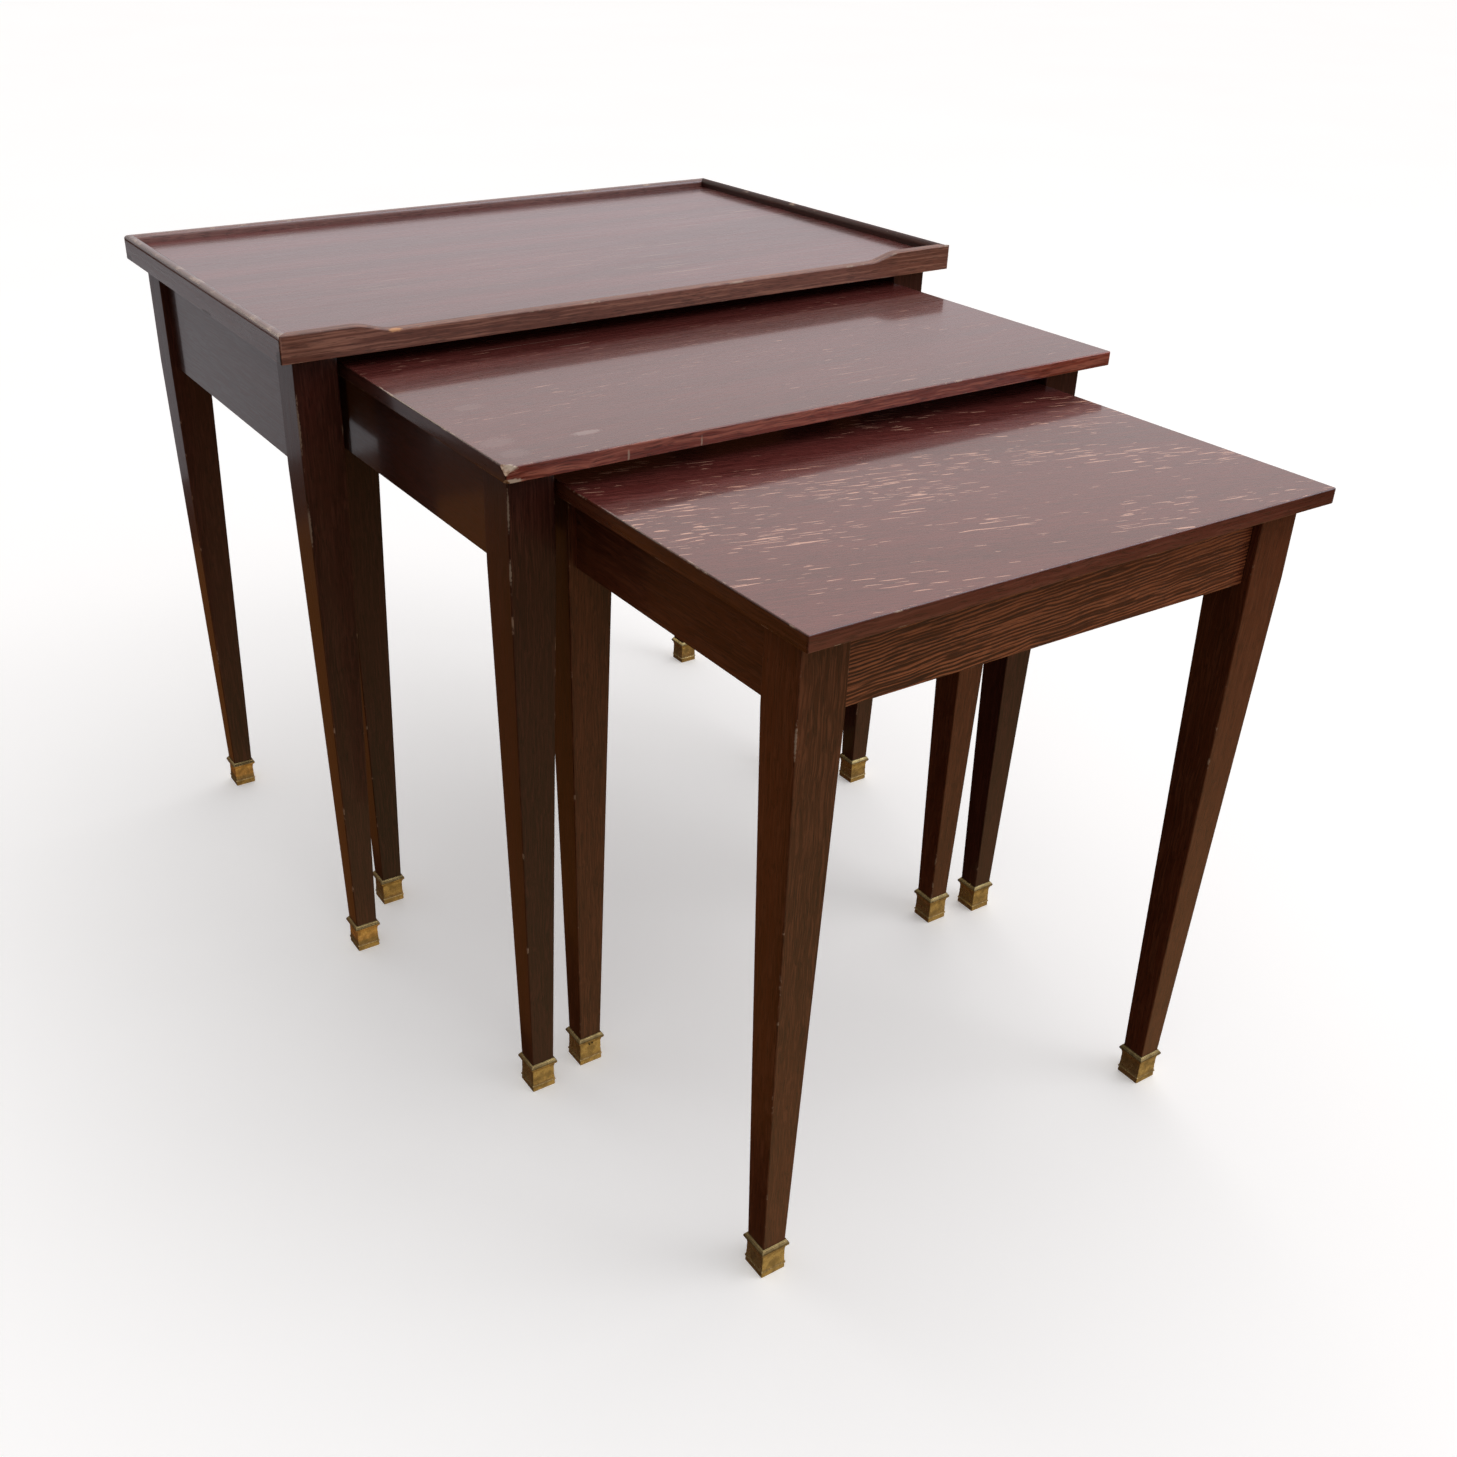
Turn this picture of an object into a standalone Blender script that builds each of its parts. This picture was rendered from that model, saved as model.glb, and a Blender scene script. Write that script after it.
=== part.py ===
"""Three nesting tables in dark stained wood with brass sabots, drawn out of one another like steps.

Metres, +Z up, the floor at Z = 0. The tables' common front faces -Y, so a nested table slides out along -Y.
The origin is on the floor, in the middle of the footprint of the whole set as it stands here.
"""

import math

import bmesh
import bpy
from mathutils import Matrix, Vector

# Driving dimensions.
GAP = 0.0003  # clearance left between two pieces that touch

LEG_SIDE = 0.033  # square section of a leg through the apron zone
LEG_FOOT_SIDE = 0.018  # square section where the leg meets its sabot
LEG_STUB_SIDE = 0.0138  # the end of the leg, inside the sabot
LEG_STUB_END = 0.006  # height of the stub's end above the floor
LEG_ARRIS = 0.0008

APRON_THICKNESS = 0.018
CLEAT_WIDTH = 0.0095
CLEAT_HEIGHT = 0.012
CLEAT_LENGTH = 0.200

SABOT_HEIGHT = 0.026
SABOT_CAVITY_FLOOR = 0.0055

RIM_WIDTH = 0.009  # the gallery rim of the large table, seen from above
RIM_ROUNDING = 0.0038
RIM_OVER_PANEL = 0.007
LIP_DROP = 0.006  # how far the front lip lies below the top of the rim
RETURN_LENGTH = 0.054  # full-height stretch of the front rail at each corner
OGEE_LENGTH = 0.032
OGEE_STEPS = 8
RAIL_ARRIS = 0.0012

LIPPING_WIDTH = 0.008
LIPPING_ARRIS = 0.0008


class Table:
    """One table's driving dimensions. Overhangs run from the edge of the top to the face of the leg below it."""

    def __init__(self, name, width, depth, height, edge, apron, overhangs, apron_setback, front_apron):
        self.name = name
        self.width = width
        self.depth = depth
        self.height = height
        self.underside = height - edge
        self.apron_bottom = self.underside - apron
        self.side_overhang, self.front_overhang, self.back_overhang = overhangs
        self.apron_setback = apron_setback
        self.front_apron = front_apron

    def leg_centre(self, side, end):
        """Side is -1 on the left and 1 on the right; end is -1 at the front and 1 at the back."""
        overhang = self.front_overhang if end < 0 else self.back_overhang
        return (
            side * (self.width / 2 - self.side_overhang - LEG_SIDE / 2),
            end * (self.depth / 2 - overhang - LEG_SIDE / 2),
        )


LARGE = Table("large", 0.600, 0.380, 0.541, 0.020, 0.088, (0.013, 0.016, 0.012), 0.006, False)
MEDIUM = Table("medium", 0.502, 0.346, 0.512, 0.0105, 0.070, (0.010, 0.019, 0.010), 0.006, False)
SMALL = Table("small", 0.410, 0.302, 0.489, 0.0105, 0.0535, (0.0095, 0.0165, 0.010), 0.006, True)

MEDIUM_DRAWN_OUT = 0.235  # from the front edge of the large top to that of the medium one
SMALL_DRAWN_OUT = 0.233  # from the front edge of the medium top to that of the small one

FRONT = -(MEDIUM_DRAWN_OUT + SMALL_DRAWN_OUT + LARGE.depth) / 2
SIDES = {"left": -1, "right": 1}
ENDS = {"front": -1, "back": 1}


def clear_scene():
    for obj in list(bpy.data.objects):
        bpy.data.objects.remove(obj, do_unlink=True)


def make_material(name, colour, roughness, metallic=0.0):
    material = bpy.data.materials.new(name)
    material.use_nodes = True
    shader = material.node_tree.nodes["Principled BSDF"]
    shader.inputs["Base Color"].default_value = (*colour, 1.0)
    shader.inputs["Roughness"].default_value = roughness
    shader.inputs["Metallic"].default_value = metallic
    return material


def make_collection(name):
    collection = bpy.data.collections.new(name)
    bpy.context.scene.collection.children.link(collection)
    return collection


def make_empty(name, collection, location):
    empty = bpy.data.objects.new(name, None)
    empty.empty_display_size = 0.1
    empty.location = location
    collection.objects.link(empty)
    return empty


def place(name, mesh, material, parent, location=(0, 0, 0), angle=0.0):
    obj = bpy.data.objects.new(name, mesh)
    if not mesh.materials:
        mesh.materials.append(material)
    obj.parent = parent
    obj.location = location
    obj.rotation_euler = (0, 0, angle)
    parent.users_collection[0].objects.link(obj)
    return obj


def mesh_of(bm, name):
    bmesh.ops.recalc_face_normals(bm, faces=bm.faces)
    mesh = bpy.data.meshes.new(name)
    bm.to_mesh(mesh)
    bm.free()
    return mesh


def box(low, high):
    """A bmesh box between two opposite corners."""
    low, high = Vector(low), Vector(high)
    bm = bmesh.new()
    centre = Matrix.Translation((low + high) / 2)
    bmesh.ops.create_cube(bm, size=1.0, matrix=centre @ Matrix.Diagonal((*(high - low), 1.0)))
    return bm


def round_edges(bm, chosen, width, segments):
    edges = [edge for edge in bm.edges if chosen(*(vertex.co for vertex in edge.verts))]
    bmesh.ops.bevel(bm, geom=edges, offset=width, segments=segments, profile=0.5, affect="EDGES")


def cut(bm, point, normal):
    """Removes what lies on the side that the normal points to, and closes the cut."""
    geometry = bm.verts[:] + bm.edges[:] + bm.faces[:]
    result = bmesh.ops.bisect_plane(
        bm, geom=geometry, dist=1e-6, plane_co=point, plane_no=normal, clear_outer=True
    )
    edges = [item for item in result["geom_cut"] if isinstance(item, bmesh.types.BMEdge)]
    bmesh.ops.contextual_create(bm, geom=edges)


def mitre_ends(bm, half_length, inner_side):
    """Cuts both ends of a bar along X at 45 degrees. Its outer face is at Y = 0, its inner face towards inner_side."""
    for end in (-1, 1):
        corner = Vector((end * (half_length - GAP / math.sqrt(2)), 0, 0))
        cut(bm, corner, Vector((end, inner_side, 0)))


def square_column(levels):
    """A square column along Z through (height, side) levels, listed from the top down."""
    (top, side), (next_height, _) = levels[:2]
    bm = box((-side / 2, -side / 2, next_height), (side / 2, side / 2, top))
    bm.faces.ensure_lookup_table()
    face = min(bm.faces, key=lambda item: item.calc_center_median().z)
    for height, side in levels[2:]:
        face = bmesh.ops.extrude_discrete_faces(bm, faces=[face])["faces"][0]
        old = face.calc_center_median().z
        scale = side / (face.verts[0].co.xy - face.verts[1].co.xy).length
        for vertex in face.verts:
            vertex.co = (vertex.co.x * scale, vertex.co.y * scale, vertex.co.z + height - old)
    return bm


def leg_mesh(table):
    """A leg, square through the apron zone and tapered below it, with a stub for the sabot."""
    shoulder = SABOT_HEIGHT + GAP
    bm = square_column(
        [
            (table.underside - GAP, LEG_SIDE),
            (table.apron_bottom, LEG_SIDE),
            (shoulder, LEG_FOOT_SIDE),
            (shoulder, LEG_STUB_SIDE),
            (LEG_STUB_END, LEG_STUB_SIDE),
        ]
    )

    def is_arris(a, b):
        return abs(a.z - b.z) > LEG_SIDE and min(a.z, b.z) > shoulder - GAP

    round_edges(bm, is_arris, LEG_ARRIS, 1)
    return mesh_of(bm, table.name + "_leg")


def sabot_profile():
    """(half width, height) down the outside of a sabot: lip, moulded collar, cove, body, bead and base."""
    top = SABOT_HEIGHT
    outline = [(0.0096, top), (0.0099, top - 0.0012)]
    collar = (0.0099, top - 0.0045)
    for step in range(5):
        angle = math.radians(90 - 45 * step)
        outline.append((collar[0] + 0.0013 * math.cos(angle), collar[1] + 0.0022 * math.sin(angle)))
    cove = (0.0104, top - 0.0100)
    for step in range(4):
        angle = math.radians(105 + 25 * step)
        outline.append((cove[0] + 0.0018 * math.cos(angle), cove[1] + 0.0030 * math.sin(angle)))
    outline += [(0.0089, 0.0060), (0.0092, 0.0054), (0.0092, 0.0046), (0.0090, 0.0040), (0.0092, 0.0)]
    return outline


def sabot_mesh():
    """A square cup: the profile turned in four steps, so that the corners are mitred."""
    cavity = LEG_STUB_SIDE / 2 + GAP
    outline = [(0.0, SABOT_CAVITY_FLOOR), (cavity, SABOT_CAVITY_FLOOR), (cavity, SABOT_HEIGHT)]
    outline += sabot_profile() + [(0.0, 0.0)]
    mesh = bpy.data.meshes.new("sabot")
    points = [(half * math.sqrt(2), 0.0, height) for half, height in outline]
    mesh.from_pydata(points, [(i, i + 1) for i in range(len(points) - 1)], [])
    return mesh


def turn_in_four(obj):
    screw = obj.modifiers.new("Screw", "SCREW")
    screw.axis = "Z"
    screw.angle = math.tau
    screw.steps = 4
    screw.render_steps = 4
    screw.use_merge_vertices = True
    screw.merge_threshold = 0.0001
    screw.use_smooth_shade = False


def front_rail_mesh(table):
    """The front rail, extruded from its front view: returns, ogees and the lip between them."""
    half = table.width / 2
    full, low = table.height, table.height - LIP_DROP
    right = [(half, full), (half - RETURN_LENGTH, full)]
    for step in range(1, OGEE_STEPS + 1):
        part = step / OGEE_STEPS
        fall = (1 - math.cos(math.pi * part)) / 2
        right.append((half - RETURN_LENGTH - OGEE_LENGTH * part, full - LIP_DROP * fall))
    left = [(-x, z) for x, z in reversed(right)]
    outline = [(-half, table.underside), (half, table.underside)] + right + left

    curve = bpy.data.curves.new("front_rail", "CURVE")
    curve.dimensions = "2D"
    curve.fill_mode = "BOTH"
    curve.extrude = RIM_WIDTH / 2
    spline = curve.splines.new("POLY")
    spline.points.add(len(outline) - 1)
    for point, (x, z) in zip(spline.points, outline):
        point.co = (x, z, 0, 1)
    spline.use_cyclic_u = True
    guide = bpy.data.objects.new("front_rail_guide", curve)
    bpy.context.scene.collection.objects.link(guide)
    bpy.context.view_layer.update()
    flat = bpy.data.meshes.new_from_object(guide.evaluated_get(bpy.context.evaluated_depsgraph_get()))
    bpy.data.objects.remove(guide)

    bm = bmesh.new()
    bm.from_mesh(flat)
    bpy.data.meshes.remove(flat)
    bmesh.ops.remove_doubles(bm, verts=bm.verts, dist=1e-5)
    bmesh.ops.dissolve_limit(bm, angle_limit=math.radians(0.5), verts=bm.verts, edges=bm.edges)
    stand = Matrix.Translation((0, RIM_WIDTH / 2, 0)) @ Matrix.Rotation(math.pi / 2, 4, "X")
    bmesh.ops.transform(bm, matrix=stand, verts=bm.verts)
    bmesh.ops.recalc_face_normals(bm, faces=bm.faces)

    def is_top_edge(a, b):
        return abs(a.y - b.y) < 1e-5 and min(a.z, b.z) > low - 1e-5

    round_edges(bm, is_top_edge, RAIL_ARRIS, 2)
    mitre_ends(bm, half, 1)
    return mesh_of(bm, "front_rail")


def rim_mesh(length, table):
    """A gallery rim along X, its outer face at Y = 0 and its body towards +Y, with a rounded top."""
    bm = box((-length / 2, 0, table.underside), (length / 2, RIM_WIDTH, table.height))

    def is_top_edge(a, b):
        return min(a.z, b.z) > table.height - 1e-5 and abs(a.y - b.y) < 1e-5

    round_edges(bm, is_top_edge, RIM_ROUNDING, 3)
    mitre_ends(bm, length / 2, 1)
    return mesh_of(bm, "rim")


def lipping_mesh(length, table):
    """A lipping along X, its outer face at Y = 0, with a softened outer top and bottom arris."""
    bm = box((-length / 2, 0, table.underside), (length / 2, LIPPING_WIDTH, table.height))
    round_edges(bm, lambda a, b: max(a.y, b.y) < 1e-5 and abs(a.z - b.z) < 1e-5, LIPPING_ARRIS, 1)
    mitre_ends(bm, length / 2, 1)
    return mesh_of(bm, "lipping")


def edge_places(table):
    """Each edge of a top: its length, the middle of its outer face, and the turn that brings +Y inwards."""
    half_width, half_depth = table.width / 2, table.depth / 2
    return {
        "front": (table.width, (0, -half_depth, 0), 0.0),
        "right": (table.depth, (half_width, 0, 0), math.pi / 2),
        "back": (table.width, (0, half_depth, 0), math.pi),
        "left": (table.depth, (-half_width, 0, 0), -math.pi / 2),
    }


def add_gallery_top(table, parent, wood):
    for side, (length, location, angle) in edge_places(table).items():
        mesh = front_rail_mesh(table) if side == "front" else rim_mesh(length, table)
        place(f"{table.name}_rim_{side}", mesh, wood, parent, location, angle)
    half_width = table.width / 2 - RIM_WIDTH - GAP
    half_depth = table.depth / 2 - RIM_WIDTH - GAP
    bm = box(
        (-half_width, -half_depth, table.underside),
        (half_width, half_depth, table.height - RIM_OVER_PANEL),
    )
    place(f"{table.name}_top_panel", mesh_of(bm, "panel"), wood, parent)


def add_flat_top(table, parent, wood):
    for side, (length, location, angle) in edge_places(table).items():
        place(f"{table.name}_lipping_{side}", lipping_mesh(length, table), wood, parent, location, angle)
    half_width = table.width / 2 - LIPPING_WIDTH - GAP
    half_depth = table.depth / 2 - LIPPING_WIDTH - GAP
    bm = box((-half_width, -half_depth, table.underside), (half_width, half_depth, table.height))
    place(f"{table.name}_top_panel", mesh_of(bm, "panel"), wood, parent)


def add_legs(table, parent, wood, brass, sabot):
    leg = leg_mesh(table)
    for end_name, end in ENDS.items():
        for side_name, side in SIDES.items():
            x, y = table.leg_centre(side, end)
            place(f"{table.name}_leg_{end_name}_{side_name}", leg, wood, parent, (x, y, 0))
            shoe = place(
                f"{table.name}_sabot_{end_name}_{side_name}", sabot, brass, parent, (x, y, 0), math.pi / 4
            )
            turn_in_four(shoe)


def add_aprons(table, parent, wood):
    """Rails between the legs, set back from the legs' outer faces, and the cleats inside the side rails."""
    leg_x, back_y = table.leg_centre(1, 1)
    front_y = table.leg_centre(1, -1)[1]
    clear = LEG_SIDE / 2 + GAP
    low, high = table.apron_bottom, table.underside - GAP
    outer = leg_x + LEG_SIDE / 2 - table.apron_setback
    inner = outer - APRON_THICKNESS
    for name, side in SIDES.items():
        xs = sorted((side * inner, side * outer))
        bm = box((xs[0], front_y + clear, low), (xs[1], back_y - clear, high))
        place(f"{table.name}_apron_{name}", mesh_of(bm, "side_apron"), wood, parent)
        xs = sorted((side * (inner - GAP), side * (inner - GAP - CLEAT_WIDTH)))
        bm = box((xs[0], -CLEAT_LENGTH / 2, high - CLEAT_HEIGHT), (xs[1], CLEAT_LENGTH / 2, high))
        place(f"{table.name}_cleat_{name}", mesh_of(bm, "cleat"), wood, parent)
    ends = {"back": back_y + LEG_SIDE / 2 - table.apron_setback - APRON_THICKNESS}
    if table.front_apron:
        ends["front"] = front_y - LEG_SIDE / 2 + table.apron_setback
    for name, y in ends.items():
        bm = box((clear - leg_x, y, low), (leg_x - clear, y + APRON_THICKNESS, high))
        place(f"{table.name}_apron_{name}", mesh_of(bm, "end_apron"), wood, parent)


def add_table(table, front, collection, wood, brass, sabot):
    """Builds a table whose front edge is at Y = front, on an empty in the middle of its footprint."""
    parent = make_empty(f"{table.name}_table", collection, (0, front + table.depth / 2, 0))
    if table is LARGE:
        add_gallery_top(table, parent, wood)
    else:
        add_flat_top(table, parent, wood)
    add_legs(table, parent, wood, brass, sabot)
    add_aprons(table, parent, wood)


def main():
    clear_scene()
    collection = make_collection("nesting_tables")
    brass = make_material("brass", (0.45, 0.33, 0.12), 0.35, 1.0)
    sabot = sabot_mesh()
    large_front = FRONT + SMALL_DRAWN_OUT + MEDIUM_DRAWN_OUT
    wood = make_material("large_wood", (0.045, 0.016, 0.012), 0.30)
    add_table(LARGE, large_front, collection, wood, brass, sabot)
    wood = make_material("medium_wood", (0.055, 0.018, 0.013), 0.25)
    add_table(MEDIUM, large_front - MEDIUM_DRAWN_OUT, collection, wood, brass, sabot)
    wood = make_material("small_wood", (0.070, 0.026, 0.018), 0.25)
    add_table(SMALL, FRONT, collection, wood, brass, sabot)


main()
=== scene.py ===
"""Three nesting tables in dark stained wood with brass sabots: the looks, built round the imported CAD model."""

import math

import bmesh
import bpy
from mathutils import Matrix, Vector


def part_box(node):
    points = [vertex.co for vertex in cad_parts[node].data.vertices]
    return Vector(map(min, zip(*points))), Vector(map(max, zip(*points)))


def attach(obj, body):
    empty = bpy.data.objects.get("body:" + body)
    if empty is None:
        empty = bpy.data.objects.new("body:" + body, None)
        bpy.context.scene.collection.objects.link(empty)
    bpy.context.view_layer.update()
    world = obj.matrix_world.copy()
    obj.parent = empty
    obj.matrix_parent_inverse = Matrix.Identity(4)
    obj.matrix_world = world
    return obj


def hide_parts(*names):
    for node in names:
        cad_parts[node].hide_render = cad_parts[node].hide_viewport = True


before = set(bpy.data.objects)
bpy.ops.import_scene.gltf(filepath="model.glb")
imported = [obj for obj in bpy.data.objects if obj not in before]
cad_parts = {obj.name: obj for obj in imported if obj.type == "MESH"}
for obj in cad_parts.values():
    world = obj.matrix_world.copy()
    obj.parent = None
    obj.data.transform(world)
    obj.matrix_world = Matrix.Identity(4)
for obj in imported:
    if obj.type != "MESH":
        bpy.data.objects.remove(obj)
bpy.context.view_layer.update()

TABLES = ("large", "medium", "small")
SIDES = ("left", "right")
ENDS = ("front", "back")

# Two coordinates this close count as the same, and this close as near, in metres.
SAME = 1e-6
NEAR = 1e-5

# Lengths in metres. An ARRIS is the width that a rubbed edge is rounded to.
LEG_FOOT_SIDE = 0.018
LEG_INTO_SABOT = 0.0015
LEG_ARRIS = 0.0010
APRON_ARRIS = 0.0007
RIM_WIDTH = 0.009
RIM_CROWN = 0.44  # of the rim's width
RIM_UNDER_ARRIS = 0.0008
RAIL_LENGTH_FLAT = 0.054
RAIL_LENGTH_OGEE = 0.032
RAIL_DROP = 0.006
RAIL_STEPS = 16  # a count: the ogee's facets
RAIL_OUTER_ARRIS = 0.0013
RAIL_INNER_ARRIS = 0.0010
RAIL_UNDER_ARRIS = 0.0006
MITRE_GAP = 0.00006
TOP_CORNER_ROUND = 0.0012
TOP_ARRIS = {"medium": 0.0027, "small": 0.0045}
TOP_UNDER_ARRIS = 0.0008
SABOT_MOUTH_SIDE = LEG_FOOT_SIDE + 0.0004
SABOT_MOUTH_DEPTH = 0.004
SABOT_LIP = 0.0001
SABOT_OUTSIDE = 0.0131  # from the leg's axis: farther out than the mouth's corners
SABOT_ARRIS = 0.0005
FLOOR_HALF_SIDE = 90.0

# (table, end, side) of the sabots whose pins the photo shows.
PINNED = (("small", "back", "left"), ("medium", "back", "right"))
# (reach, lean of the cut) of the chips at the medium top's left front corner, from above and from below.
MEDIUM_CHIPS = ((0.0021, 1.1), (0.0013, -0.9))


# Node helpers.


class Shader:
    """A material's node tree, with short calls for the nodes that the finishes share."""

    def __init__(self, name):
        self.material = bpy.data.materials.new(name)
        self.material.use_nodes = True
        self.tree = self.material.node_tree
        self.out = self.tree.nodes["Principled BSDF"]

    def node(self, kind, inputs=(), **settings):
        made = self.tree.nodes.new("ShaderNode" + kind)
        for key, value in settings.items():
            setattr(made, key, value)
        for key, value in dict(inputs).items():
            self.feed(made.inputs[key], value)
        return made

    def feed(self, socket, value):
        if isinstance(value, bpy.types.NodeSocket):
            self.tree.links.new(value, socket)
        else:
            socket.default_value = value

    def math(self, operation, a, b=0.0, clamp=False):
        made = self.node("Math", operation=operation, use_clamp=clamp)
        self.feed(made.inputs[0], a)
        self.feed(made.inputs[1], b)
        return made.outputs[0]

    def vector(self, operation, a, b=(0, 0, 0)):
        made = self.node("VectorMath", operation=operation)
        self.feed(made.inputs[0], a)
        self.feed(made.inputs[1], b)
        return made.outputs["Value" if operation in ("DISTANCE", "LENGTH") else "Vector"]

    def mix(self, factor, a, b, blend="MIX"):
        made = self.node("Mix", data_type="RGBA", blend_type=blend)
        self.feed(made.inputs[0], factor)
        self.feed(made.inputs[6], a)
        self.feed(made.inputs[7], b)
        return made.outputs[2]

    def noise(self, vector, scale=1.0, detail=2.0, roughness=0.5):
        inputs = {"Vector": vector, "Scale": scale, "Detail": detail, "Roughness": roughness}
        return self.node("TexNoise", inputs).outputs["Fac"]

    def step(self, value, low, high, to_low=0.0, to_high=1.0):
        made = self.node(
            "MapRange",
            {"Value": value, "From Min": low, "From Max": high, "To Min": to_low, "To Max": to_high},
            interpolation_type="SMOOTHSTEP",
        )
        return made.outputs[0]

    def attribute(self, name):
        return self.node("Attribute", attribute_name=name).outputs["Fac"]


def rgb(red, green, blue):
    return (red, green, blue, 1.0)


def wood(name, axis, dark, mid, light, **look):
    """Stained, lacquered wood whose grain runs along an axis of the frame.

    streak: how strongly the light streaks show; level, crisp: where and how sharply they begin
    coarse: streaks across a metre; wave: how far they wander (m); ribs: fine lines across a metre
    slope, lean: how far the grain drifts in depth and across, along its length
    fleck: strength of the pale rays; lines: strength of the scratches
    wear: how much of the arrises is rubbed pale
    spots: (centre, radii, strength, colour) of each placed mark
    rough, specular, tint, coat, coat_rough, bump: the sheen and the relief
    """
    get = {
        "streak": 0.5, "wave": 0.002, "coarse": 420.0, "fleck": 0.0, "wear": 0.5, "lines": 0.0, "rough": 0.3,
        "coat": 0.8, "coat_rough": 0.12, "specular": 0.5, "bump": 0.5, "slope": 0.0, "lean": 0.0,
        "level": 0.55, "crisp": 0.10, "ribs": 0.0, "tint": (1.0, 1.0, 1.0), "spots": [],
    } | look
    s = Shader(name)
    where = s.node("TexCoord").outputs["Object"]
    split = s.node("SeparateXYZ", {0: where})
    x, y, z = split.outputs
    along, across, depth = {"X": (x, y, z), "Y": (y, x, z), "Z": (z, x, y)}[axis]
    across = s.math("SUBTRACT", across, s.math("MULTIPLY", along, get["lean"]))
    depth = s.math("SUBTRACT", depth, s.math("MULTIPLY", along, get["slope"]))
    plain = s.node("CombineXYZ", {0: along, 1: across, 2: depth}).outputs[0]
    sway = s.node("TexNoise", {"Vector": s.vector("MULTIPLY", plain, (7, 10, 10)), "Detail": 1.0}).outputs["Color"]
    sway = s.vector("MULTIPLY", s.vector("SUBTRACT", sway, (0.5, 0.5, 0.5)), (0, get["wave"] * 2, get["wave"] * 2))
    grain = s.vector("ADD", plain, sway)

    tone = s.noise(s.vector("MULTIPLY", grain, (2.5, 28, 28)), detail=3)
    coarse = get["coarse"]
    streak = s.noise(s.vector("MULTIPLY", grain, (coarse * 0.018, coarse, coarse)), detail=2, roughness=0.5)
    pore = s.noise(s.vector("MULTIPLY", grain, (75, 1500, 1500)), detail=2, roughness=0.6)
    if get["ribs"]:
        drift = s.noise(s.vector("MULTIPLY", grain, (14, 90, 90)), detail=2)
        layer = s.node("SeparateXYZ", {0: grain}).outputs[2]
        phase = s.math("MULTIPLY", layer, get["ribs"] * 2 * math.pi)
        phase = s.math("SINE", s.math("ADD", phase, s.math("MULTIPLY", drift, 13.0)))
        streak = s.math("ADD", streak, s.math("MULTIPLY", phase, 0.14))
    colour = s.mix(s.step(tone, 0.35, 0.65), rgb(*dark), rgb(*mid))
    lit = s.step(streak, get["level"] - get["crisp"], get["level"] + get["crisp"], 0.0, get["streak"])
    colour = s.mix(lit, colour, rgb(*light))
    pores = s.step(pore, 0.52, 0.62, 1.0, 0.55)
    colour = s.mix(1.0, colour, s.node("CombineXYZ", {0: pores, 1: pores, 2: pores}).outputs[0], "MULTIPLY")
    height = s.math("ADD", s.math("MULTIPLY", pores, 0.6), s.math("MULTIPLY", streak, 0.5))
    rough = s.math("ADD", s.step(streak, 0.3, 0.7, -0.05, 0.07), get["rough"])

    if get["fleck"]:
        cluster = s.step(s.noise(s.vector("MULTIPLY", plain, (9.0, 20, 20)), detail=3), 0.40, 0.62)
        ray = s.noise(s.vector("MULTIPLY", grain, (48, 700, 700)), detail=1.0, roughness=0.4)
        edge = s.step(cluster, 0.0, 1.0, 0.76, 0.705 - 0.072 * get["fleck"])
        ray = s.math("MULTIPLY", s.step(s.math("SUBTRACT", ray, edge), 0.0, 0.025), min(1.0, get["fleck"] + 0.4))
        colour = s.mix(ray, colour, rgb(0.72, 0.40, 0.29))
        height = s.math("ADD", height, s.math("MULTIPLY", ray, 0.3))
    if get["lines"]:
        turned = s.node("Mapping", {"Vector": plain, "Rotation": (0, 0, 0.06), "Scale": (16, 900, 900)}).outputs[0]
        line = s.step(s.noise(turned, detail=0.0), 0.765, 0.80)
        patch = s.step(s.noise(plain, scale=9.0, detail=1.0), 0.48, 0.60)
        line = s.math("MULTIPLY", s.math("MULTIPLY", line, patch), get["lines"])
        colour = s.mix(line, colour, rgb(0.50, 0.36, 0.28))
        rough = s.math("ADD", rough, s.math("MULTIPLY", line, 0.3))

    rub = s.noise(plain, scale=55.0, detail=5.0, roughness=0.7)
    rub = s.step(rub, 0.66 - 0.22 * get["wear"], 0.74 - 0.2 * get["wear"])
    rub = s.math("MULTIPLY", s.attribute("arris"), rub)
    colour = s.mix(s.math("MULTIPLY", rub, 0.8), colour, rgb(0.42, 0.29, 0.21))
    fibres = s.step(s.noise(plain, scale=420.0, detail=3.0), 0.4, 0.6)
    raw = s.mix(fibres, rgb(0.30, 0.17, 0.10), rgb(0.62, 0.44, 0.30))
    bare = s.attribute("bare")
    ragged = s.noise(where, scale=600.0, detail=3.0)
    colour = s.mix(bare, colour, raw)
    for centre, radii, strength, mark in get["spots"]:
        offset = s.vector("DIVIDE", s.vector("SUBTRACT", where, centre), radii)
        inside = s.step(s.math("ADD", s.vector("LENGTH", offset), ragged), 1.00, 1.40, strength, 0.0)
        colour = s.mix(inside, colour, rgb(*mark))
        bare = s.math("MAXIMUM", bare, inside)
    rough = s.math("ADD", rough, s.math("MULTIPLY", bare, 0.4), clamp=True)

    s.feed(s.out.inputs["Base Color"], colour)
    s.feed(s.out.inputs["Roughness"], rough)
    bump = s.node("Bump", {"Height": height, "Strength": get["bump"], "Distance": 0.0002})
    s.feed(s.out.inputs["Normal"], bump.outputs[0])
    s.out.inputs["Specular IOR Level"].default_value = get["specular"]
    s.out.inputs["Specular Tint"].default_value = rgb(*get["tint"])
    s.out.inputs["Coat Weight"].default_value = get["coat"]
    s.out.inputs["Coat Roughness"].default_value = get["coat_rough"]
    return s.material


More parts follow.
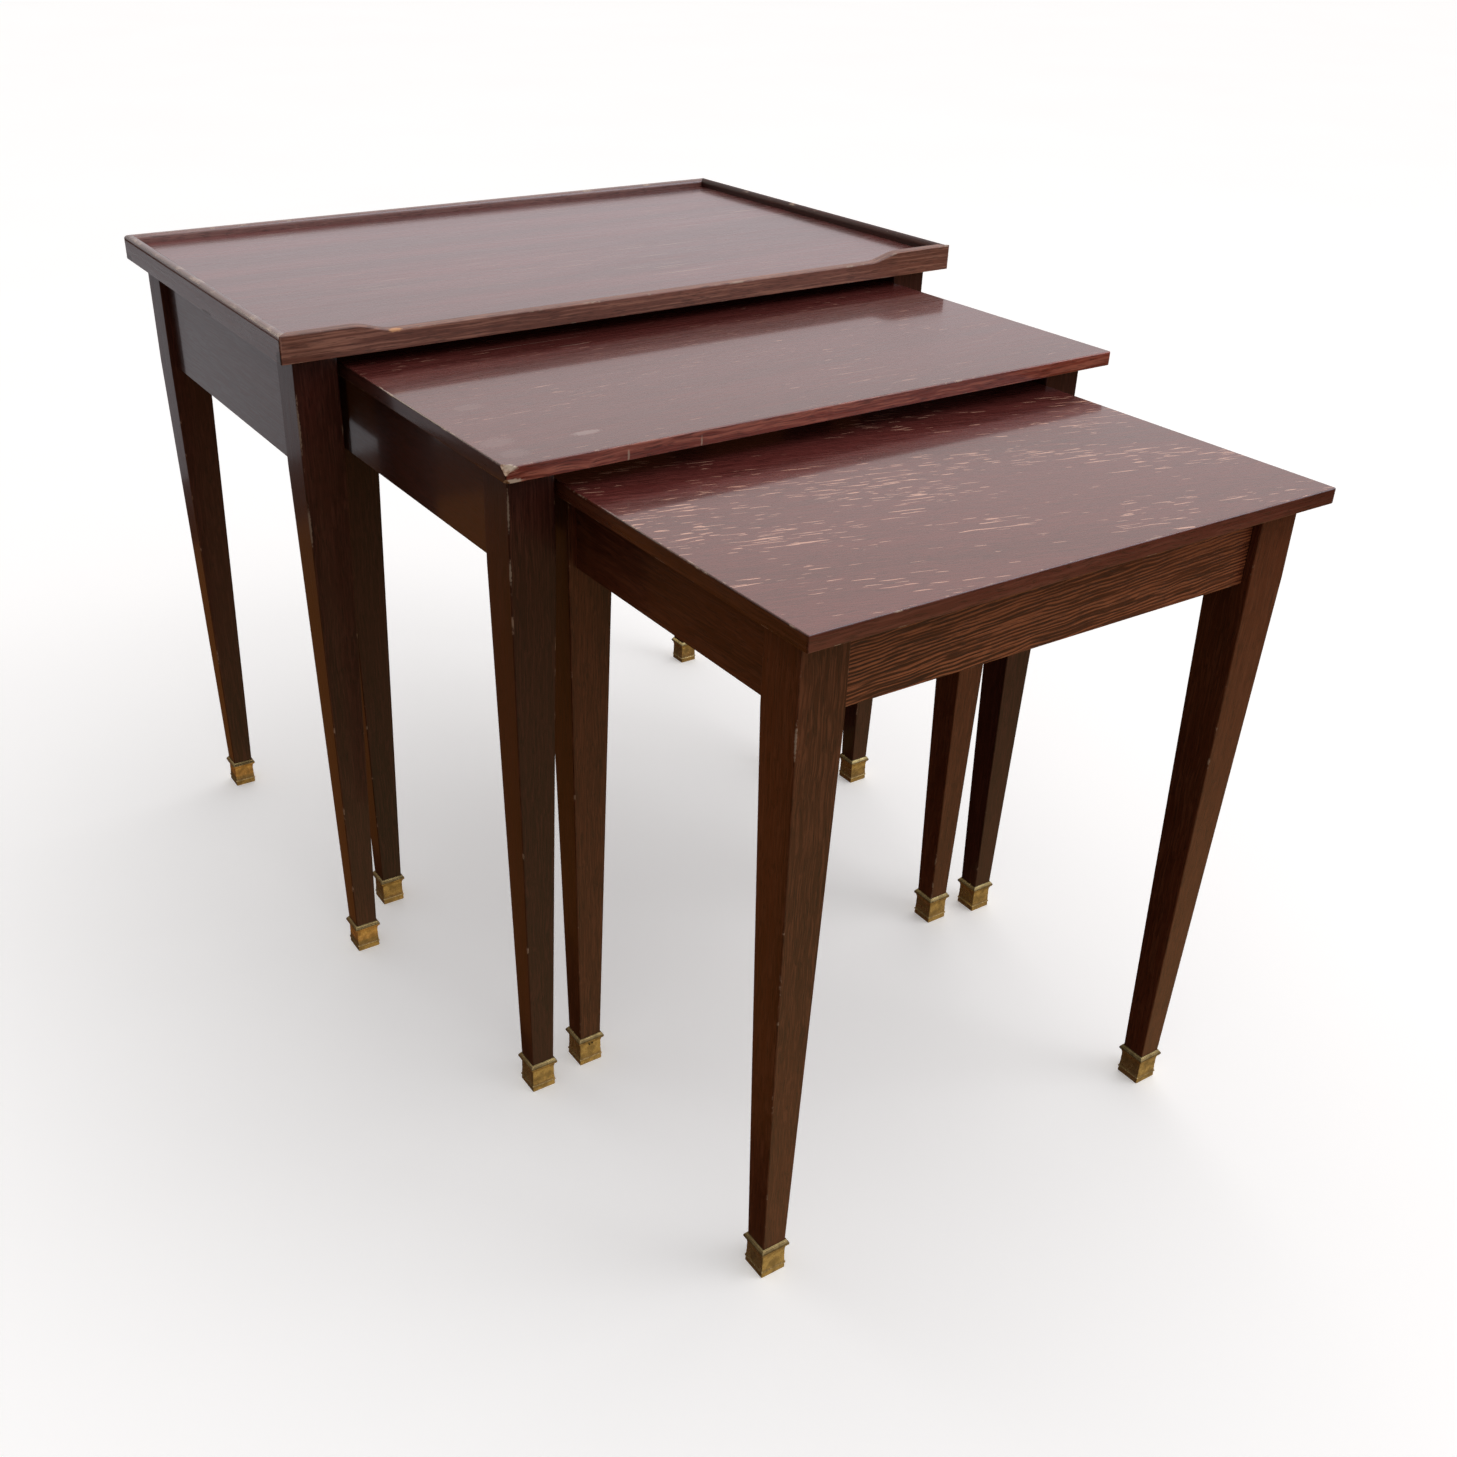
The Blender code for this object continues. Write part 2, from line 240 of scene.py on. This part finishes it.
def cast_brass(name):
    """Old cast brass: bright on the edges, olive where the patina stayed, darker in the pits and on the collar's
    upward faces near the top.
    """
    s = Shader(name)
    where = s.node("TexCoord").outputs["Object"]
    patina = s.noise(where, scale=160.0, detail=5.0, roughness=0.65)
    pits = s.noise(where, scale=1400.0, detail=3.0)
    colour = s.mix(s.step(patina, 0.38, 0.66), rgb(0.90, 0.72, 0.32), rgb(0.52, 0.40, 0.17))
    colour = s.mix(s.step(pits, 0.60, 0.74), colour, rgb(0.28, 0.19, 0.075))
    colour = s.mix(s.math("MULTIPLY", s.attribute("arris"), 0.5), colour, rgb(0.95, 0.74, 0.36))
    colour = s.mix(s.attribute("bare"), colour, rgb(0.06, 0.038, 0.014))
    s.feed(s.out.inputs["Base Color"], colour)
    s.feed(s.out.inputs["Roughness"], s.step(patina, 0.3, 0.7, 0.20, 0.40))
    bump = s.node("Bump", {"Height": s.math("ADD", pits, patina), "Strength": 0.5, "Distance": 0.0003})
    s.feed(s.out.inputs["Normal"], bump.outputs[0])
    s.out.inputs["Metallic"].default_value = 0.8
    return s.material


# Finishes: the woods' dark, middle and light tones, then the colours of the placed marks.

PANEL = {"dark": (0.095, 0.0190, 0.0165), "mid": (0.165, 0.0320, 0.0290), "light": (0.190, 0.050, 0.042)}
RED = {"dark": (0.034, 0.0070, 0.0050), "mid": (0.064, 0.0140, 0.0095), "light": (0.130, 0.038, 0.023)}
TOP = {"dark": (0.090, 0.0190, 0.0160), "mid": (0.130, 0.0270, 0.0240), "light": (0.190, 0.050, 0.042)}
# The back rim's tones are lighter than the other rims' wood: painted light, for the light on its inner wall, which
# faces the front.
BACK_RIM_PAINTED_LIGHT = {"dark": (0.150, 0.0600, 0.0500), "mid": (0.240, 0.1050, 0.0880), "light": (0.360, 0.190, 0.160)}
RIM = {"dark": (0.085, 0.0300, 0.0240), "mid": (0.150, 0.0600, 0.0500), "light": (0.260, 0.125, 0.098)}
EDGE = {"dark": (0.170, 0.0330, 0.0210), "mid": (0.360, 0.0800, 0.0520), "light": (0.560, 0.190, 0.125)}
DEEP = {"dark": (0.085, 0.0170, 0.0120), "mid": (0.150, 0.0330, 0.0240), "light": (0.240, 0.075, 0.050)}
BROWN = {"dark": (0.170, 0.062, 0.040), "mid": (0.280, 0.110, 0.074), "light": (0.480, 0.225, 0.150)}
WARM = {"dark": (0.070, 0.0150, 0.0055), "mid": (0.135, 0.0320, 0.0125), "light": (0.230, 0.078, 0.034)}
BLACK = {"dark": (0.010, 0.0060, 0.0030), "mid": (0.018, 0.0100, 0.0050), "light": (0.050, 0.030, 0.015)}
BOLD = {"dark": (0.060, 0.0140, 0.0050), "mid": (0.150, 0.0370, 0.0140), "light": (0.480, 0.160, 0.066)}
ORANGE = (0.66, 0.34, 0.17)
CREAM = (0.62, 0.50, 0.38)
PALE = (0.55, 0.45, 0.42)
DARK = (0.020, 0.014, 0.012)


def at(node, x, y, z):
    """A point measured from the front left top corner of a CAD node."""
    low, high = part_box(node)
    return (low[0] + x, low[1] + y, high[2] + z)


# Pale marks on the outer arris of each front left leg: partly rubbed wear, partly painted highlight.
LEG_WEAR_AND_HIGHLIGHTS = {
    "large": [
        (at("large_leg_front_left", 0.0, 0.0, -0.051), (0.0017, 0.0017, 0.026), 0.4, CREAM),
        (at("large_leg_front_left", 0.001, 0.001, -0.126), (0.0014, 0.0014, 0.022), 0.4, CREAM),
    ],
    "medium": [
        (at("medium_leg_front_left", 0.0, 0.0, -0.0235), (0.0014, 0.0014, 0.020), 0.5, CREAM),
        (at("medium_leg_front_left", 0.0, 0.0, -0.0665), (0.0015, 0.0015, 0.012), 0.5, CREAM),
    ],
    "small": [(at("small_leg_front_left", 0.0, 0.0, -0.0635), (0.0015, 0.0015, 0.018), 0.6, CREAM)],
}

finish = {
    "large_panel": wood(
        "large_panel_wood", "X", **PANEL, streak=0.15, lines=0.9, rough=0.28, coat=1.0, coat_rough=0.13,
        bump=0.07, tint=(1.0, 0.80, 0.84),
    ),
    "large_front": wood(
        "large_front_wood", "X", **BROWN, streak=0.6, coat=0.15, rough=0.42, coarse=620, wave=0.0006,
        spots=[(at("large_rim_front", 0.0851, 0.0006, -0.0058), (0.0065, 0.0045, 0.0030), 1.0, ORANGE)],
    ),
    # Back rim: lighter tones as painted light on its front-facing inner wall.
    "large_rim_x": wood("large_back_rim_wood_painted_light", "X", **BACK_RIM_PAINTED_LIGHT, streak=0.4, coat=0.8, wear=0.45),
    # The right rim takes the darker stain of the legs: painted shade, for its inner wall, which faces left, away
    # from the light.
    "large_rim_right": wood(
        "large_right_rim_wood_painted_shade", "Y", **RED, streak=0.3, coat=0.0, rough=0.5, specular=0.3, wear=0.3
    ),
    "large_rim_y": wood(
        "large_rim_wood_y", "Y", **RIM, streak=0.3, coat=1.0, coat_rough=0.14, wear=0.6,
        spots=[
            (at("large_rim_front", 0.0, 0.371, -0.0175), (0.003, 0.0130, 0.0040), 0.6, DARK),
            (at("large_rim_front", 0.0, 0.161, -0.0195), (0.003, 0.0160, 0.0024), 0.9, DARK),
            (at("large_rim_front", 0.0, 0.004, -0.017), (0.003, 0.0060, 0.0080), 0.8, DARK),
        ],
    ),
    "medium_top_x": wood(
        "medium_top_wood", "X", **TOP, streak=0.3, lines=0.5, rough=0.26, coat=1.0, coat_rough=0.08, bump=0.12,
        tint=(1.0, 0.62, 0.60), fleck=0.12,
        spots=[
            (at("medium_lipping_front", 0.0323, 0.1146, 0.0), (0.014, 0.0080, 0.01), 0.14, PALE),
            (at("medium_lipping_front", 0.016, 0.043, 0.0), (0.016, 0.0110, 0.01), 0.14, PALE),
            (at("medium_lipping_front", 0.016, 0.02, 0.0), (0.013, 0.0100, 0.01), 0.12, PALE),
            (at("medium_lipping_front", 0.0732, 0.0322, 0.0), (0.013, 0.0050, 0.01), 0.40, PALE),
            (at("medium_lipping_front", 0.001, 0.001, 0.0), (0.007, 0.0055, 0.004), 0.9, CREAM),
        ],
    ),
    "medium_top_front": wood(
        "medium_front_edge_wood", "X", **EDGE, streak=0.6, coarse=600, coat=0.4, wear=0.35,
        spots=[
            (at("medium_lipping_front", 0.0842, 0.0, -0.007), (0.0010, 0.004, 0.0050), 0.5, CREAM),
            (at("medium_lipping_front", 0.138, 0.0, -0.007), (0.0009, 0.004, 0.0045), 0.5, CREAM),
            (at("medium_lipping_front", 0.002, 0.0, -0.001), (0.0080, 0.004, 0.0030), 0.9, CREAM),
            (at("medium_lipping_front", 0.003, 0.0, -0.0095), (0.0100, 0.004, 0.0026), 0.9, CREAM),
        ],
    ),
    "small_top_front": wood("small_front_edge_wood", "X", **DEEP, streak=0.5, coat=0.6, wear=0.3),
    "medium_top_y": wood("medium_edge_wood", "Y", **RED, streak=0.3, coat=0.8, wear=0.5),
    "small_top_x": wood(
        "small_top_wood", "X", **TOP, streak=0.6, coarse=800, lean=-0.25, fleck=0.95, rough=0.26, coat=1.0,
        coat_rough=0.08, bump=0.12, tint=(1.0, 0.55, 0.50),
    ),
    "small_top_y": wood("small_edge_wood", "Y", **WARM, streak=0.3, coat=0.5),
    "small_apron_front": wood(
        "small_front_apron_wood", "X", **BOLD, streak=0.8, coarse=700, level=0.53, ribs=430.0, wave=0.0016,
        slope=0.045, coat=0.25, rough=0.4, bump=0.8,
    ),
    "brass": cast_brass("aged_cast_brass"),
    "pin": wood("dark_pin", "Z", **BLACK, coat=0.0, rough=0.5),
}
for table, stain in (("large", RED), ("medium", RED), ("small", WARM)):
    for axis, part in (("X", "apron"), ("Y", "apron"), ("Z", "leg")):
        glossy = table != "small" and axis == "Y"
        sheen = {"coat": 1.0, "coat_rough": 0.10} if glossy else {"coat": 0.5 if table == "large" else 0.3}
        finish[f"{table}_{part}_{axis.lower()}"] = wood(
            f"{table}_{part}_wood_{axis.lower()}", axis, **stain, streak=0.5, coarse=1000, rough=0.34, wear=0.3,
            spots=LEG_WEAR_AND_HIGHLIGHTS[table] if part == "leg" else [], **sheen,
        )


# Mesh helpers.


def box(low, high):
    """A block between two corners."""
    low, high = Vector(low), Vector(high)
    bm = bmesh.new()
    centre = Matrix.Translation((low + high) / 2)
    bmesh.ops.create_cube(bm, size=1.0, matrix=centre @ Matrix.Diagonal((*(high - low), 1.0)))
    layers(bm)
    return bm


def layers(bm):
    """The face layers that the finishes read: rubbed arrises, and bare wood in chips or, on brass, the darkened
    upward faces of the collar.
    """
    for name in ("arris", "bare"):
        if name not in bm.faces.layers.float:
            bm.faces.layers.float.new(name)


def soften(bm, chosen, width, segments=3, mark=True):
    """Rounds the edges for whose ends chosen(a, b) is true, and marks the new faces as rubbed arrises."""
    edges = [edge for edge in bm.edges if chosen(*(vertex.co for vertex in edge.verts))]
    made = bmesh.ops.bevel(
        bm, geom=edges, offset=width, segments=segments, profile=0.5, affect="EDGES", clamp_overlap=True
    )
    layer = bm.faces.layers.float["arris"]
    for face in made["faces"]:
        face[layer] = 1.0 if mark else 0.0


def cut(bm, point, normal, layer=None):
    """Removes what lies on the side that the normal points to, closes the cut and marks its face."""
    geometry = bm.verts[:] + bm.edges[:] + bm.faces[:]
    result = bmesh.ops.bisect_plane(
        bm, geom=geometry, dist=1e-7, plane_co=point, plane_no=normal, clear_outer=True
    )
    edges = [item for item in result["geom_cut"] if isinstance(item, bmesh.types.BMEdge)]
    if not edges:
        return
    made = bmesh.ops.contextual_create(bm, geom=edges)
    if layer:
        for face in made["faces"]:
            face[bm.faces.layers.float[layer]] = 1.0


def finished(name, bm, materials, table, *nodes, slot=None, smooth=30.0, moved=None):
    """Makes the piece that stands for the CAD nodes, and lets it ride on its table."""
    if moved is not None:
        bmesh.ops.transform(bm, matrix=moved, verts=bm.verts)
    bmesh.ops.recalc_face_normals(bm, faces=bm.faces)
    mesh = bpy.data.meshes.new(name)
    bm.to_mesh(mesh)
    bm.free()
    for material in materials:
        mesh.materials.append(material)
    mesh.shade_smooth()
    mesh.set_sharp_from_angle(angle=math.radians(smooth))
    obj = bpy.data.objects.new(name, mesh)
    bpy.context.scene.collection.objects.link(obj)
    weighted = obj.modifiers.new("Weighted normals", "WEIGHTED_NORMAL")
    weighted.keep_sharp = True
    weighted.weight = 80
    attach(obj, table + "_table")
    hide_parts(*nodes)
    return obj


def union_box(*nodes):
    """The lowest and highest corners of several CAD nodes together."""
    boxes = [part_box(node) for node in nodes]
    low = Vector(min(item[0][axis] for item in boxes) for axis in range(3))
    high = Vector(max(item[1][axis] for item in boxes) for axis in range(3))
    return low, high


def same(a, b, axis):
    return abs(a[axis] - b[axis]) < SAME


# The large table's gallery.


def mitre(bm, half, corner_round=0.0022):
    """Mitres both ends of a bar along X whose outer face is at Y = 0, and rounds the outer corners."""
    for end in (-1, 1):
        cut(bm, Vector((end * (half - MITRE_GAP), 0, 0)), Vector((end, 1, 0)))
        for turn in (22.5, 45.0):
            angle = math.radians(turn)
            normal = Vector((end * math.sin(angle), -math.cos(angle), 0))
            centre = Vector((end * (half - corner_round), corner_round, 0))
            cut(bm, centre + normal * corner_round, normal, "arris")


def rim(length, width, low, high):
    """A side or back rim with a rounded crown."""
    bm = box((-length / 2, 0, low), (length / 2, width, high))
    soften(bm, lambda a, b: same(a, b, 1) and min(a.z, b.z) > high - NEAR, width * RIM_CROWN, 8, mark=False)
    crown = bm.faces.layers.float["arris"]
    for face in bm.faces:
        if face.normal.z > 0.75:
            face[crown] = 1.0
    under = low + SAME
    soften(bm, lambda a, b: max(a.y, b.y) < SAME and max(a.z, b.z) < under and same(a, b, 1), RIM_UNDER_ARRIS, 2)
    mitre(bm, length / 2)
    return bm


def front_rail(length, width, low, high):
    """The front rail: full height at the corners, an ogee down to the lip between them."""
    half, lip = length / 2, high - RAIL_DROP
    right = [(half, high), (half - RAIL_LENGTH_FLAT, high)]
    for step in range(1, RAIL_STEPS + 1):
        part = step / RAIL_STEPS
        fall = (1 - math.cos(math.pi * part)) / 2
        right.append((half - RAIL_LENGTH_FLAT - RAIL_LENGTH_OGEE * part, high - RAIL_DROP * fall))
    outline = [(-half, low), (half, low)] + right + [(-x, z) for x, z in reversed(right)]
    bm = bmesh.new()
    layers(bm)
    face = bm.faces.new([bm.verts.new((x, 0, z)) for x, z in outline])
    back = bmesh.ops.extrude_face_region(bm, geom=[face])["geom"]
    bmesh.ops.translate(
        bm, vec=(0, width, 0), verts=[item for item in back if isinstance(item, bmesh.types.BMVert)]
    )
    bmesh.ops.recalc_face_normals(bm, faces=bm.faces)
    above = lip - NEAR
    soften(bm, lambda a, b: max(a.y, b.y) < SAME and min(a.z, b.z) > above, RAIL_OUTER_ARRIS, 4)
    soften(bm, lambda a, b: min(a.y, b.y) > width - SAME and min(a.z, b.z) > above, RAIL_INNER_ARRIS, 2)
    soften(bm, lambda a, b: max(a.y, b.y) < SAME and max(a.z, b.z) < low + SAME, RAIL_UNDER_ARRIS, 2)
    mitre(bm, half)
    return bm


def build_gallery():
    """The front rail and three rims: each is made along X and turned to its side."""
    low, high = union_box(*(f"large_rim_{side}" for side in SIDES + ENDS))
    middle = (low + high) / 2
    looks = {"front": "large_front", "right": "large_rim_right", "back": "large_rim_x", "left": "large_rim_y"}
    spans = {
        "front": (high.x - low.x, (middle.x, low.y, 0), 0.0),
        "right": (high.y - low.y, (high.x, middle.y, 0), math.pi / 2),
        "back": (high.x - low.x, (middle.x, high.y, 0), math.pi),
        "left": (high.y - low.y, (low.x, middle.y, 0), -math.pi / 2),
    }
    for side, (length, place, angle) in spans.items():
        bm = (front_rail if side == "front" else rim)(length, RIM_WIDTH, low.z, high.z)
        moved = Matrix.Translation(place) @ Matrix.Rotation(angle, 4, "Z")
        finished(f"large_{side}_rim", bm, [finish[looks[side]]], "large", f"large_rim_{side}", moved=moved)


# Tops, aprons, legs and sabots.


def build_flat_top(table):
    """One slab that stands for the panel and its lippings."""
    nodes = [f"{table}_top_panel"] + [f"{table}_lipping_{side}" for side in SIDES + ENDS]
    low, high = union_box(*nodes)
    bm = box(low, high)
    soften(bm, lambda a, b: same(a, b, 0) and same(a, b, 1), TOP_CORNER_ROUND, 3)
    soften(bm, lambda a, b: min(a.z, b.z) > high.z - SAME, TOP_ARRIS[table], 8)
    soften(bm, lambda a, b: max(a.z, b.z) < low.z + SAME, TOP_UNDER_ARRIS, 2)
    for reach, lean in MEDIUM_CHIPS if table == "medium" else ():
        place = Vector((low.x, low.y, high.z if lean > 0 else low.z))
        cut(bm, place + Vector((reach, reach, -lean * reach)), Vector((-1.0, -0.8, lean)), "bare")
    for face in bm.faces:
        if abs(face.normal.x) > 0.6:
            face.material_index = 1
        elif abs(face.normal.y) > 0.6:
            face.material_index = 2
    looks = [finish[f"{table}_top_{part}"] for part in ("x", "y", "front")]
    finished(f"{table}_top", bm, looks, table, *nodes)


def build_aprons(table):
    for side in SIDES + ENDS:
        node = f"{table}_apron_{side}"
        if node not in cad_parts:
            continue
        low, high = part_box(node)
        bm = box(low, high)
        soften(bm, lambda a, b: max(a.z, b.z) < low.z + SAME, APRON_ARRIS, 2)
        axis = "y" if side in SIDES else "x"
        look = finish["small_apron_front" if side == "front" else f"{table}_apron_{axis}"]
        finished(f"{table}_{side}_apron", bm, [look], table, node)


def column(levels, centre):
    """A square column through (height, side) levels, from the top down."""
    rings = []
    bm = bmesh.new()
    layers(bm)
    for height, side in levels:
        half = side / 2
        corners = ((-half, -half), (half, -half), (half, half), (-half, half))
        rings.append([bm.verts.new((centre[0] + x, centre[1] + y, height)) for x, y in corners])
    for upper, lower in zip(rings, rings[1:]):
        for i in range(4):
            j = (i + 1) % 4
            bm.faces.new((upper[i], lower[i], lower[j], upper[j]))
    bm.faces.new(rings[0])
    bm.faces.new(reversed(rings[-1]))
    bmesh.ops.recalc_face_normals(bm, faces=bm.faces)
    return bm


def build_legs(table):
    apron_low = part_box(f"{table}_apron_left")[0].z
    for end in ENDS:
        for side in SIDES:
            node = f"{table}_leg_{end}_{side}"
            low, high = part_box(node)
            shoe_low, shoe_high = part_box(f"{table}_sabot_{end}_{side}")
            centre = (low + high) / 2
            full = high.x - low.x
            levels = [(high.z, full), (apron_low, full), (shoe_high.z - LEG_INTO_SABOT, LEG_FOOT_SIDE)]
            bm = column(levels, centre)
            soften(bm, lambda a, b: abs(a.z - b.z) > 0.02, LEG_ARRIS, 3)
            finished(f"{table}_{end}_{side}_leg", bm, [finish[f"{table}_leg_z"]], table, node)
            build_sabot(table, end, side, shoe_low, shoe_high)


def sabot_profile(top, half):
    """(half width, height) down a sabot: stepped collar, cove, body with a slight flare, bead line and base."""
    collar = [(-0.0020, 0.0), (-0.0014, -0.0005), (-0.0013, -0.0011), (-0.0009, -0.0014), (-0.0003, -0.0022)]
    collar += [(0.0, -0.0030), (0.0, -0.0038), (-0.0004, -0.0045), (-0.0011, -0.0052)]
    cove = [(-0.0016, -0.0060), (-0.0020, -0.0072), (-0.0022, -0.0086), (-0.0022, -0.0110), (-0.0021, -0.0145)]
    cove += [(-0.0019, -0.0180), (-0.0018, -0.0202)]
    bead = [(-0.0013, -0.0207), (-0.0012, -0.0212), (-0.0014, -0.0217), (-0.0018, -0.0221)]
    points = [(half + out, top + down) for out, down in collar + cove + bead]
    return points + [(half - 0.0016, 0.0006), (half - 0.0018, 0.0)]


def add_pin(bm, x, y, z):
    """A small dark nail head, seen from the front."""
    turned = Matrix.Translation((x, y, z)) @ Matrix.Rotation(math.pi / 2, 4, "X")
    made = bmesh.ops.create_cone(
        bm, cap_ends=True, segments=10, radius1=0.00055, radius2=0.00075, depth=0.0006, matrix=turned
    )
    for face in {face for vertex in made["verts"] for face in vertex.link_faces}:
        face.material_index = 1


def build_sabot(table, end, side, low, high):
    centre = (low + high) / 2
    half = (high.x - low.x) / 2
    outer = [(height, width * 2) for width, height in sabot_profile(high.z, half)]
    mouth = [(high.z - depth, SABOT_MOUTH_SIDE) for depth in (SABOT_MOUTH_DEPTH, SABOT_LIP)]
    bm = column(mouth + outer, centre)
    upper_collar_dark = bm.faces.layers.float["bare"]
    # The collar's upward faces near the top are made darker.
    for face in bm.faces:
        if face.normal.z > 0.2 and face.calc_center_median().z > high.z - 0.003:
            face[upper_collar_dark] = 0.6
    soften(bm, lambda a, b: abs(a.z - b.z) > NEAR and (a.xy - centre.xy).length > SABOT_OUTSIDE, SABOT_ARRIS, 2)
    if (table, end, side) in PINNED:
        for shift in (-0.0011, 0.0013):
            add_pin(bm, centre.x + shift, centre.y - half + 0.0019, high.z - 0.0078 + shift * 0.2)
    name = f"{table}_{end}_{side}_sabot"
    looks = [finish["brass"], finish["pin"]]
    finished(name, bm, looks, table, f"{table}_sabot_{end}_{side}", slot="brass", smooth=40.0)


def paint(node, look):
    """Gives a CAD piece that stays in view its finish."""
    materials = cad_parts[node].data.materials
    materials.clear()
    materials.append(finish[look])


build_gallery()
paint("large_top_panel", "large_panel")
for table in TABLES:
    if table != "large":
        build_flat_top(table)
    build_aprons(table)
    build_legs(table)
    for side in SIDES:
        paint(f"{table}_cleat_{side}", f"{table}_apron_y")


# Stage.

# The studio's colours from the horizon up to straight overhead: (Z of the direction, colour).
SKY = (
    (0.00, (0.045, 0.014, 0.004)),
    (0.03, (0.280, 0.270, 0.280)),
    (0.20, (0.320, 0.291, 0.303)),
    (0.30, (0.355, 0.318, 0.315)),
    (0.40, (0.425, 0.365, 0.355)),
    (0.60, (0.550, 0.540, 0.530)),
    (1.00, (0.750, 0.750, 0.750)),
)
FRONT_GLOW = (0.18, 0.125, 0.058, 1)
HORIZON_WHITE = (1.0, 0.993, 0.985, 1)

CAMERA_PLACE = (-0.6312, -0.9508, 0.8145)
CAMERA_FORWARD = (0.46912, 0.73624, -0.48772)
CAMERA_UP = (0.25100, 0.41833, 0.87292)
CAMERA_SHIFT = (0.0524, -0.0034)
FOCAL_LENGTH_MM = 37.463


def build_floor():
    """A pale floor that takes shadows, but isn't mirrored in the tables and lights nothing."""
    s = Shader("pale_floor")
    where = s.node("TexCoord").outputs["Object"]
    cloud = s.noise(where, scale=1.5, detail=3.0)
    s.feed(s.out.inputs["Base Color"], s.mix(cloud, rgb(0.86, 0.86, 0.86), rgb(0.90, 0.90, 0.90)))
    s.out.inputs["Roughness"].default_value = 0.9
    s.out.inputs["Specular IOR Level"].default_value = 0.0
    s.out.inputs["Emission Color"].default_value = rgb(1, 1, 1)
    s.out.inputs["Emission Strength"].default_value = 0.25
    bm = bmesh.new()
    bmesh.ops.create_grid(bm, x_segments=1, y_segments=1, size=FLOOR_HALF_SIDE)
    mesh = bpy.data.meshes.new("floor")
    bm.to_mesh(mesh)
    bm.free()
    mesh.materials.append(s.material)
    floor = bpy.data.objects.new("floor", mesh)
    bpy.context.scene.collection.objects.link(floor)
    floor.visible_glossy = floor.visible_diffuse = False


def softbox(name, direction, distance, width, height, strength, colour, aim=(0, 0, 0.4)):
    """An area light that faces the aim from a direction. Its strength is in watts for each square metre."""
    light = bpy.data.lights.new(name, "AREA")
    light.shape = "RECTANGLE"
    light.size, light.size_y = width, height
    light.energy = width * height * strength
    light.color = colour
    obj = bpy.data.objects.new(name, light)
    bpy.context.scene.collection.objects.link(obj)
    direction = Vector(direction).normalized()
    obj.location = Vector(aim) + direction * distance
    obj.rotation_euler = direction.to_track_quat("Z", "Y").to_euler()
    obj.visible_camera = False
    return obj


def card(name, width, height, strength, colour, place):
    """A coloured card above the floor that faces up and shows only in reflections."""
    light = softbox(name, (0, 0, 1), 0.0, width, height, strength, colour, aim=place)
    light.rotation_euler = (math.pi, 0, 0)
    light.visible_diffuse = False


def build_world():
    """A graded studio that lights the tables and shows in the lacquer. The camera sees plain white instead."""
    world = bpy.data.worlds.new("studio")
    bpy.context.scene.world = world
    world.use_nodes = True
    tree = world.node_tree

    def node(kind, *links):
        made = tree.nodes.new("ShaderNode" + kind)
        for key, socket in links:
            tree.links.new(socket, made.inputs[key])
        return made

    split = node("SeparateXYZ", (0, node("TexCoord").outputs["Generated"]))
    ramp = node("ValToRGB", (0, split.outputs["Z"]))
    stops = ramp.color_ramp.elements
    stops[0].position, stops[0].color = SKY[0][0], (*SKY[0][1], 1)
    stops[1].position, stops[1].color = SKY[-1][0], (*SKY[-1][1], 1)
    for place, colour in SKY[1:-1]:
        stops.new(place).color = (*colour, 1)

    def fade(axis, near, far, low, high):
        made = node("MapRange", ("Value", split.outputs[axis]))
        for key, value in (("From Min", near), ("From Max", far), ("To Min", low), ("To Max", high)):
            made.inputs[key].default_value = value
        return made.outputs[0]

    glow = node("Math", (0, fade("Z", -0.30, -0.55, 0.0, 1.0)), (1, fade("Y", 0.1, -0.4, 0.0, 1.0)))
    glow.operation = "MULTIPLY"
    mix = node("Mix")
    mix.data_type = "RGBA"
    tree.links.new(glow.outputs[0], mix.inputs[0])
    tree.links.new(ramp.outputs[0], mix.inputs[6])
    mix.inputs[7].default_value = FRONT_GLOW
    studio = tree.nodes["Background"]
    tree.links.new(mix.outputs[2], studio.inputs["Color"])
    tree.links.new(fade("X", -0.8, 0.3, 0.5, 2.0), studio.inputs["Strength"])
    white = node("Background")
    white.inputs["Color"].default_value = HORIZON_WHITE
    camera_ray = node("LightPath").outputs["Is Camera Ray"]
    seen = node("MixShader", (0, camera_ray), (1, studio.outputs[0]), (2, white.outputs[0]))
    tree.links.new(seen.outputs[0], tree.nodes["World Output"].inputs["Surface"])


def build_lights():
    """Two windows and two cards that show only in reflections, and a key light that doesn't."""
    left = softbox("left_window", (-0.37, 0.815, 0.445), 4.0, 2.0, 1.0, 6.0, (1.0, 0.90, 0.70))
    left.rotation_euler.rotate_axis("Z", math.radians(-40))
    left.visible_diffuse = False
    card("warm_card", 0.95, 1.5, 0.38, (1.0, 0.37, 0.07), (-0.73, 0.25, 0.01))
    card("low_card", 2.0, 1.9, 0.88, (0.88, 0.95, 1.04), (-1.2, 2.2, 0.01))
    front = softbox("front_window", (0.55, -0.38, 0.74), 3.0, 1.15, 3.2, 7.0, (0.66, 0.80, 1.0))
    front.visible_diffuse = False
    key = softbox("key", (0.47, -0.49, 0.74), 4.0, 1.4, 1.0, 10.0, (0.98, 0.98, 1.0))
    key.visible_glossy = False


def build_camera():
    """The photo's viewpoint, as solved for together with the tables' sizes."""
    data = bpy.data.cameras.new("camera")
    data.sensor_width = 36.0
    data.lens = FOCAL_LENGTH_MM
    data.shift_x, data.shift_y = CAMERA_SHIFT
    data.clip_end = 100.0
    camera = bpy.data.objects.new("camera", data)
    bpy.context.scene.collection.objects.link(camera)
    forward = Vector(CAMERA_FORWARD).normalized()
    right = forward.cross(Vector(CAMERA_UP)).normalized()
    up = right.cross(forward)
    turned = Matrix((right, up, -forward)).transposed().to_4x4()
    camera.matrix_world = Matrix.Translation(CAMERA_PLACE) @ turned
    bpy.context.scene.camera = camera


build_floor()
build_world()
build_lights()
build_camera()
bpy.context.scene.view_settings.view_transform = "Standard"
